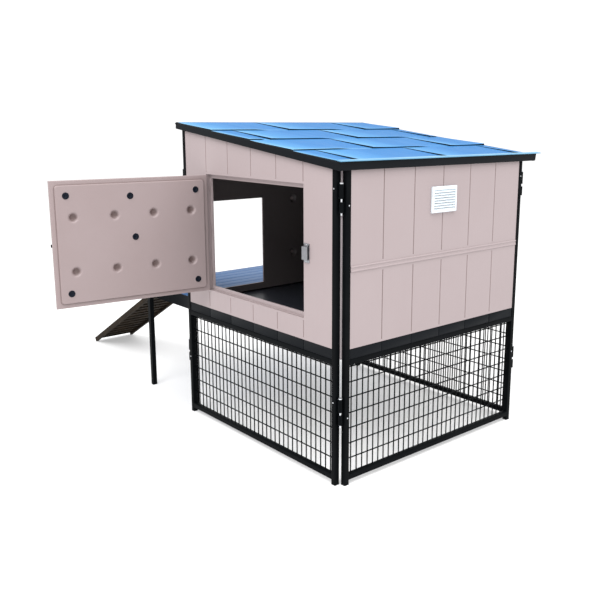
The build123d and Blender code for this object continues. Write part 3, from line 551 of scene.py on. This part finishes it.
zinc = metal("bright_zinc", (0.74, 0.76, 0.79), 0.20)
plate = metal("dull_zinc_plate", (0.34, 0.35, 0.37), 0.34)
white = moulded("vent_moulding", (0.72, 0.78, 0.82), (0.66, 0.72, 0.77), 0.36, 0.4)
# Painted reflection and highlight: the black eave lip is given a blue tone for the sky seen in its gloss.
lip_sky_reflection = moulded("eave_lip_painted_sky_reflection", (0.15, 0.33, 0.47), (0.09, 0.24, 0.40), 0.40, 0.15, 6.0)
tile_sky_reflection = tile_finish("tile_painted_sky_reflection")
wood = wood_finish("roost_softwood")
deck_sky_reflection = deck_finish("deck_painted_sky_reflection")

NODE_FINISH = (
    (wall, "door_wall vent_wall back_wall deck_wall"),
    (strip, "corner_strips"),
    (black, "skirt_boards roof_board front_rake_trim back_rake_trim eave_trim ridge_trim deck_fascia "
            "latch_body latch_knob latch_tongue roof_pins turn_button roost_cups foot_caps"),
    (plug_black, "door_plugs"),
    (floor_black, "floor_panel"),
    (ramp_brown, "ramp_board ramp_rails ramp_cleats"),
    (coat, "door_side_frame vent_side_frame back_side_frame deck_side_frame door_side_mesh vent_side_mesh "
           "back_side_mesh floor_bearers bearer_brackets deck_frame deck_legs ramp_ears"),
    (zinc, "corner_pins lug_bolts bearer_bolts wall_screws latch_screws door_hinge_wall_leaves "
           "door_hinge_door_leaves door_hinge_pins pop_hinge_wall_leaves pop_hinge_door_leaves "
           "pop_hinge_pins ramp_rod"),
    (plate, "keeper"),
    (white, "vent_frame vent_slats"),
    (tile_sky_reflection, "tile_course_1 tile_course_2 tile_course_3 tile_course_4"),
    (wood, "roost_bar"),
    (deck_sky_reflection, "deck_top"),
    (leaf, "door_leaf pop_door_leaf"),
)
for finish, names in NODE_FINISH:
    for node in names.split():
        materials = frame["nodes"][node].data.materials
        materials.clear()
        materials.append(finish.material)


# ---- side frames: posts, rails, couplers ----
def roof_under(points):
    """Height of the board's underside at each point."""
    return ROOF_UNDER - math.tan(ROOF_TILT) * points[..., 0]


def lug_outline(z0, z1):
    """Barrel section with softened rims: bore, lower rim, wall, upper rim."""
    bore, wall_r, rim = 4.2, 9.0, 0.9
    neck = wall_r - rim
    return [(bore, z0), (neck, z0), (wall_r, z0 + rim), (wall_r, z1 - rim), (neck, z1), (bore, z1)]


def side_frame(name, turn):
    """Rounded square tubes for posts and rails, turned barrels with flat tabs in the corner notches."""
    skin = Skin()
    round_r, past_roof = 2.8, 1500.0

    def on_side(points):
        return placed(turned(points, turn))

    def under_roof(points):
        return roof_under(turned(points, turn))

    middle = -(FACE + INNER) / 2
    for x in (-HALF + TUBE / 2, HALF - TUBE / 2):
        bar(skin, (x, middle, FOOT_CAP), (x, middle, past_roof), TUBE, TUBE, round_r, on_side, under_roof)
    rail_end = BAY + SUNK
    for low in ([MID_RAIL] if name == "deck" else [FOOT_RAIL, MID_RAIL]):
        z = low + TUBE / 2
        bar(skin, (-rail_end, middle, z), (rail_end, middle, z), TUBE, TUBE, round_r, on_side)
    tab_in, tab_out, tab_t, tab_round = 6.5, NOTCH - HALF + SUNK, 6.0, 1.0
    for top in COUPLERS:
        low = top - LUG_UPPER - LUG_SPACE
        for x, z0, z1 in ((NOTCH, top - LUG_UPPER, top), (-NOTCH, low - LUG_LOWER, low)):
            lathe(skin, lug_outline(z0, z1), lambda p, x=x: on_side(p + np.array([x, -NOTCH, 0])))
            tab_x = x - math.copysign((tab_in + tab_out) / 2, x)
            bar(skin, (tab_x, -NOTCH, z0), (tab_x, -NOTCH, z1), tab_out - tab_in, tab_t, tab_round, on_side)
    head_t, head_gap, head_round = 11.0, 0.6, 0.8
    if name in ("door", "back"):
        low, high = under_roof(np.array([[-BAY, 0, 0], [BAY, 0, 0]])) - head_t / 2 - head_gap
    else:
        down_slope = -FACE if name == "vent" else -INNER
        low = high = under_roof(np.array([0, down_slope, 0])) - head_t / 2 - head_gap
    bar(skin, (-BAY, middle, low), (BAY, middle, high), TUBE, head_t, head_round, on_side)
    skin.build(name + "_tube_frame", [coat], "house", name + "_side_frame")


for side, turn in TURNS.items():
    side_frame(side, turn)


# ---- wire mesh ----
def wires(name, turn):
    """Round uprights let into the backs of round level wires, each a straight tube of twenty sides."""
    skin = Skin()
    welded, almost_half = 0.3, 0.499
    y_up = -INNER - WIRE / 2
    y_level = y_up - WIRE * welded
    low, high = FOOT_RAIL + TUBE - SUNK, MID_RAIL + SUNK

    def wire(start, end):
        bar(skin, start, end, WIRE, WIRE, WIRE * almost_half, lambda p: placed(turned(p, turn)))

    for k in range(COLUMNS):
        x = (k - (COLUMNS - 1) / 2) * PITCH
        wire((x, y_up, low), (x, y_up, high))
    for k in range(ROWS):
        z = MID_RAIL - ROW_TOP - k * ROW_PITCH
        wire((-BAY - SUNK, y_level, z), (BAY + SUNK, y_level, z))
    skin.build(name + "_wires", [coat], "house", name + "_side_mesh", smooth_below=80.0)


for side in ("door", "vent", "back"):
    wires(side, TURNS[side])


# ---- roof tiles and eave ----
def tile(skin, index, v0, v1, inner, curled):
    """A bowed tile over (a down the slope, b across), both 0 to 1.

    The rise above the board is thin at the head and grows as a to the power bow to the butt's thickness.
    The butt comes down to the thin height past the middle; on a curled tile it rises as a square instead.
    A near side that meets another tile lifts as the square of its nearness; the rims are rounded over.
    """
    dip_from, dip_over, dip_left = 0.52, 0.26, 0.5
    curl, seam_lift, seam_width, bow = 3.5, 2.2, 0.22, 1.2
    round_over, butt_round, side_round = 1.1, 0.025, 0.012
    u0 = -RIDGE + COURSE * index
    # Stations packed close at the butt and at both sides.
    a = np.concatenate([np.linspace(0, 0.96, 13), [0.985, 0.996, 1.0]])
    b = np.concatenate([[0.0, 0.004, 0.012], np.linspace(0.03, 0.97, 33), [0.988, 1.0]])
    A, B = np.meshgrid(a, b, indexing="ij")
    if curled:
        thick = TILE_THICK + curl * np.clip(B * 1.3 - 0.3, 0, 1) ** 2
    else:
        thick = TILE_THICK - (TILE_THICK - TILE_THIN - dip_left) * eased((B - dip_from) / dip_over)
    near = (1 - np.clip(B / seam_width, 0, 1)) ** 2 * np.clip(A / 0.1, 0, 1)
    rise = TILE_THIN + (thick - TILE_THIN) * A ** bow + (seam_lift if inner else 0.0) * near
    butt = np.clip((A - 1 + butt_round) / butt_round, 0, 1)
    near_rim = np.clip((side_round - B) / side_round, 0, 1)
    W = BOARD + rise - round_over * (butt ** 2 + near_rim ** 2)
    U, V = u0 + COURSE * A, v0 + (v1 - v0) * B
    top = placed(on_roof(U, V, W))
    under = placed(on_roof(U, V, np.full_like(W, BOARD)))
    skin.grid(top, np.stack([A, B + 2.0 * inner], -1))
    skin.grid(under, flip=True, finish=1)
    rims = ((np.s_[0, :], True), (np.s_[-1, :], False), (np.s_[:, 0], False), (np.s_[:, -1], True))
    for edge, flip in rims:
        skin.grid(np.stack([top[edge], under[edge]]), finish=1, flip=flip)


# Half the joint between two tiles of a course, in mm.
JOINT = 1.0
for index in range(COURSES):
    skin = Skin()
    edges = [-FRONT, *TILE_JOINTS[index % 2], BACK]
    for k, (left, right) in enumerate(zip(edges[:-1], edges[1:])):
        inner, last = k > 0, right == BACK
        curled = last and index % 2 == 0
        tile(skin, index, left + inner * JOINT, right - (not last) * JOINT, inner, curled)
    skin.build(f"tiles_{index + 1}", [tile_sky_reflection, black], "house", f"tile_course_{index + 1}")


def roof_bar(skin, u0, u1, v0, v1, w0, w1, radius):
    """A rounded bar along Y between two corners in the roof's own directions."""
    middle_u, middle_w = (u0 + u1) / 2, (w0 + w1) / 2
    bar(skin, (0, v0, 0), (0, v1, 0), u1 - u0, w1 - w0, radius,
        lambda p: placed(on_roof(middle_u + p[..., 0], p[..., 1], middle_w + p[..., 2])))


FASCIA_ROUND, LIP_ROUND = 1.8, 2.0
EAVE_TOP = BOARD + TILE_THICK
skin = Skin()
roof_bar(skin, EAVE, EAVE + TRIM, -FRONT - TRIM, BACK + TRIM, -EAVE_DROP, EAVE_TOP, FASCIA_ROUND)
skin.build("eave_fascia", [black], "house", "eave_trim")
skin = Skin()
roof_bar(skin, EAVE - LIP_IN, EAVE + LIP_OUT, -FRONT - LIP_FRONT, BACK + TRIM + LIP_BACK,
         EAVE_TOP, EAVE_TOP + LIP_T, LIP_ROUND)
skin.build("eave_lip", [lip_sky_reflection], "house", "eave_trim")


# ---- moulded leaves ----
def swung(points, leaf_sizes):
    """Points of a closed leaf turned outwards about its hinge axis."""
    pivot = np.array([leaf_sizes["left"] + LEAF_GAP / 2, HINGE_Y, 0.0])
    return turned(points - pivot, -leaf_sizes["open"]) + pivot


def stops(low, high, step, fine):
    """Even steps from low to high, with the fine stations added."""
    closest = 0.25
    even = np.linspace(low, high, int((high - low) / step) + 1)
    extra = np.array([f for f in fine if low < f < high])
    merged = np.sort(np.concatenate([even, extra]))
    keep = np.concatenate([[True], np.diff(merged) > closest])
    keep[-1] = True
    return merged[keep]


def rolled(from_x, from_z, radius):
    """Drop of a quarter-round edge, from the distances to the nearest edges along X and Z.

    It is the radius less the root of radius squared minus the squared shortfalls of both distances.
    """
    dx, dz = np.clip(radius - from_x, 0, None), np.clip(radius - from_z, 0, None)
    return radius - np.sqrt(np.clip(radius ** 2 - dx ** 2 - dz ** 2, 0, None))


def moulded_leaf(name, sizes, groove_x, pits, place, flip, body, replaces):
    """Two height fields over the leaf, joined round the rim.

    Inside: a flange, then a plateau as high as the root of the eased distance in from a rounded outline,
    less round pits eased from mouth to floor and raised to a power. Outside: flat, with V grooves that run
    out at both ends. Both roll over the rim as a quarter round. U is the depth in a pit, V the nearness to
    the plateau's foot.
    """
    cell, slope, roll, corner, play = 3.6, 4.2, 3.0, 14.0, 0.5
    groove_half, groove_end, groove_run = 3.1, 18.0, 10.0
    crease_at, crease_width, pit_power = 0.6, 1.6, 0.8
    x0, x1 = sizes["left"] + LEAF_GAP, sizes["right"] - LEAF_GAP
    z0, z1 = sizes["low"] + LEAF_GAP, sizes["high"] - LEAF_GAP
    inset = sizes["step"] + play
    # Stations packed close where the surface turns: the rolled rim, the slope's foot and top, the grooves.
    rim = [0.25, 0.8, 1.7, 3.2]
    rise = list(inset + np.linspace(0, slope, 7)) + [inset - 1, inset + slope + 1.5]
    fine_x = [e for d in rim + rise for e in (x0 + d, x1 - d)]
    fine_x += [g + d for g in groove_x for d in (-3.4, -2.9, 0, 2.9, 3.4)]
    fine_z = [e for d in rim + rise for e in (z0 + d, z1 - d)]
    xs, zs = stops(x0, x1, cell, fine_x), stops(z0, z1, cell, fine_z)
    X, Z = np.meshgrid(xs, zs, indexing="ij")
    from_x, from_z = np.minimum(X - x0, x1 - X), np.minimum(Z - z0, z1 - Z)
    drop = rolled(from_x, from_z, roll)
    qx, qz = corner - (from_x - inset), corner - (from_z - inset)
    past_corner = np.hypot(np.clip(qx, 0, None), np.clip(qz, 0, None))
    outside = past_corner + np.minimum(np.maximum(qx, qz), 0) - corner
    height = PLATEAU * np.sqrt(eased(-outside / slope)) - drop
    crease = np.exp(-((outside - crease_at) / crease_width) ** 2)
    sunk = np.zeros_like(X)
    for px, pz in pits:
        far = np.hypot(X - px, Z - pz)
        sunk = np.maximum(sunk, eased((PIT_R - far) / (PIT_R - PIT_FLOOR)) ** pit_power)
    height = height - PIT_DEPTH * sunk
    inner_y = -WALL_FACE + LEAF_T + height
    cut = np.zeros_like(X)
    ends = eased((from_z - groove_end) / groove_run)
    for g in groove_x:
        cut = np.maximum(cut, np.clip(groove_half - np.abs(X - g), 0, None) * ends)
    outer_y = -WALL_FACE + drop + cut
    inner = place(swung(np.stack([X, inner_y, Z], -1), sizes))
    outer = place(swung(np.stack([X, outer_y, Z], -1), sizes))
    skin = Skin()
    # The UV carries painted shade: U darkens the pits, V darkens the crease at the plateau's foot.
    skin.grid(inner, np.stack([eased(sunk * 1.25 - 0.2), crease], -1), flip=not flip)
    skin.grid(outer, flip=flip, finish=1)
    rims = ((np.s_[0, :], False), (np.s_[-1, :], True), (np.s_[:, 0], True), (np.s_[:, -1], False))
    for edge, turn_over in rims:
        skin.grid(np.stack([inner[edge], outer[edge]]), flip=turn_over != flip)
    skin.build(name, [leaf, leaf_outside], body, replaces, smooth_below=50.0)


plank_edges = [-BAY + PLANK * k for k in range(1, PLANKS)]
plank_middles = [-BAY + PLANK * (k + 0.5) for k in range(PLANKS)]
door_mid_z = (DOOR["low"] + DOOR["high"]) / 2
door_span = DOOR["right"] - DOOR["left"]
door_pits = [(x, door_mid_z + rise) for x in plank_middles for rise in (-PIT_RISE, PIT_RISE)
             if DOOR["left"] + PLUG_INSET < x < DOOR["right"] - PLUG_INSET]
door_grooves = [x for x in plank_edges if DOOR["left"] + PLANK / 2 < x < DOOR["right"] - PLANK / 2]
moulded_leaf("access_door_shell", DOOR, door_grooves, door_pits, placed, False, "door", "door_leaf")


def on_deck_side(points):
    """Mirrored left to right, then turned onto the deck side."""
    return placed(turned(points * np.array([-1.0, 1.0, 1.0]), TURNS["deck"]))


moulded_leaf("pop_door_shell", POP, [], [], on_deck_side, True, "pop_door", "pop_door_leaf")

# Radius and height from the plug's rim in mm: a dished cap with a rounded edge.
plug_profile = [(0.0, 1.0), (5.0, 1.0), (6.6, 2.3), (12.0, 3.0), (14.2, 2.8), (15.5, 1.9),
                (PLUG_R, 0.6), (PLUG_R, 0.0), (0.0, 0.0)]
plug_spots = [
    (DOOR["left"] + PLUG_INSET, DOOR["high"] - PLUG_INSET),
    (DOOR["right"] - PLUG_INSET, DOOR["high"] - PLUG_INSET),
    (DOOR["left"] + PLUG_INSET, DOOR["low"] + PLUG_INSET),
    (DOOR["right"] - PLUG_INSET, DOOR["low"] + PLUG_INSET),
    (DOOR["left"] + door_span / 2 + PLUG_INSET / 4, DOOR["high"] - PLUG_INSET * 1.2),
    (DOOR["left"] + door_span / 2, door_mid_z + PLUG_R),
]
skin = Skin()
face_y = -WALL_FACE + LEAF_T + PLATEAU


def on_leaf(points, px, pz):
    """Turned shapes laid on the open leaf's inner face, their axis along its normal."""
    laid = np.stack([px + points[..., 0], face_y + points[..., 2], pz - points[..., 1]], -1)
    return placed(swung(laid, DOOR))


for px, pz in plug_spots:
    lathe(skin, plug_profile[::-1], lambda p, px=px, pz=pz: on_leaf(p, px, pz), steps=28, closed=False)
skin.build("door_plug_caps", [plug_black], "door", "door_plugs")

# ---- softened frame shapes: each node with the width its edges are rounded by, in mm ----
SOFT = (
    ("black_plastic", black, "house", "skirt_boards:1.2 front_rake_trim:1.6 back_rake_trim:1.6 "
                                      "ridge_trim:1.6 deck_fascia:1.5 foot_caps:0.8"),
    ("black_plastic", black, "door", "latch_body:1.0"),
    ("deck_plastic", deck_sky_reflection, "house", "deck_top:0.8"),
    ("vent_white", white, "house", "vent_frame:1.2"),
    ("zinc_steel", plate, "house", "keeper:0.5"),
    ("frame_black", coat, "house", "deck_frame:1.5 deck_legs:1.5 floor_bearers:1.5"),
)
for slot, finish, body, entries in SOFT:
    for entry in entries.split():
        node, width = entry.split(":")
        softened(node, float(width), [finish], body)


# ---- stage ----
def stage_floor():
    """A pale paper sheet far wider than the view, with a little glow of its own."""
    s, tone, glow = 40.0, 0.62, 0.38
    mesh = bpy.data.meshes.new("studio_floor")
    mesh.from_pydata([(-s, -s, 0), (s, -s, 0), (s, s, 0), (-s, s, 0)], [], [(0, 1, 2, 3)])
    sheet = bpy.data.objects.new("studio_floor", mesh)
    bpy.context.scene.collection.objects.link(sheet)
    paper = Finish("studio_paper", Roughness=0.95, Base_Color=(tone, tone, tone), Specular_IOR_Level=0.0,
                   Emission_Color=(1.0, 1.0, 1.0), Emission_Strength=glow)
    mesh.materials.append(paper.material)


stage_floor()


def soft_light(name, at, toward, size, power):
    """A square area light at one point, facing another."""
    data = bpy.data.lights.new(name, "AREA")
    data.shape = "SQUARE"
    data.size = size
    data.energy = power
    lamp = bpy.data.objects.new(name, data)
    bpy.context.scene.collection.objects.link(lamp)
    lamp.location = at
    lamp.rotation_euler = (Vector(at) - Vector(toward)).to_track_quat("Z", "Y").to_euler()


WORLD_STRENGTH, LIGHT_SIZE, LIGHT_AIM = 1.12, 5.0, (0.8, 0.3, 0.8)
world = bpy.data.worlds.new("studio")
bpy.context.scene.world = world
world.use_nodes = True
background = world.node_tree.nodes["Background"]
background.inputs["Color"].default_value = (1.0, 1.0, 1.0, 1.0)
background.inputs["Strength"].default_value = WORLD_STRENGTH
soft_light("key", (2.2, -4.4, 7.0), LIGHT_AIM, LIGHT_SIZE, 520.0)
soft_light("fill", (5.4, 1.5, 6.5), LIGHT_AIM, LIGHT_SIZE, 300.0)

# ---- camera ----
YAW, PITCH_DOWN, ROLL = math.radians(48.698), math.radians(11.785), math.radians(0.212)
EYE = (2988.98, -2752.35, 1601.71)
SENSOR, FOCAL_WIDTHS, SHIFT = 36.0, 768.67 / 600.0, (-0.0534, -0.0316)


def camera():
    """A camera at EYE that looks along yaw and pitch, with a small roll."""
    back = np.array([
        math.sin(YAW) * math.cos(PITCH_DOWN), -math.cos(YAW) * math.cos(PITCH_DOWN), math.sin(PITCH_DOWN)])
    right = np.array([math.cos(YAW), math.sin(YAW), 0.0])
    up = np.cross(right, -back)
    c, s = math.cos(ROLL), math.sin(ROLL)
    data = bpy.data.cameras.new("studio_camera")
    data.sensor_width = SENSOR
    data.lens = SENSOR * FOCAL_WIDTHS
    data.shift_x, data.shift_y = SHIFT
    data.clip_end = 200.0
    lens = bpy.data.objects.new("studio_camera", data)
    bpy.context.scene.collection.objects.link(lens)
    matrix = np.eye(4)
    matrix[:3, :3] = np.stack([c * right + s * up, -s * right + c * up, back], 1)
    matrix[:3, 3] = placed(EYE)
    lens.matrix_world = Matrix(matrix.tolist())
    bpy.context.scene.camera = lens


camera()
bpy.context.scene.view_settings.view_transform = "Standard"
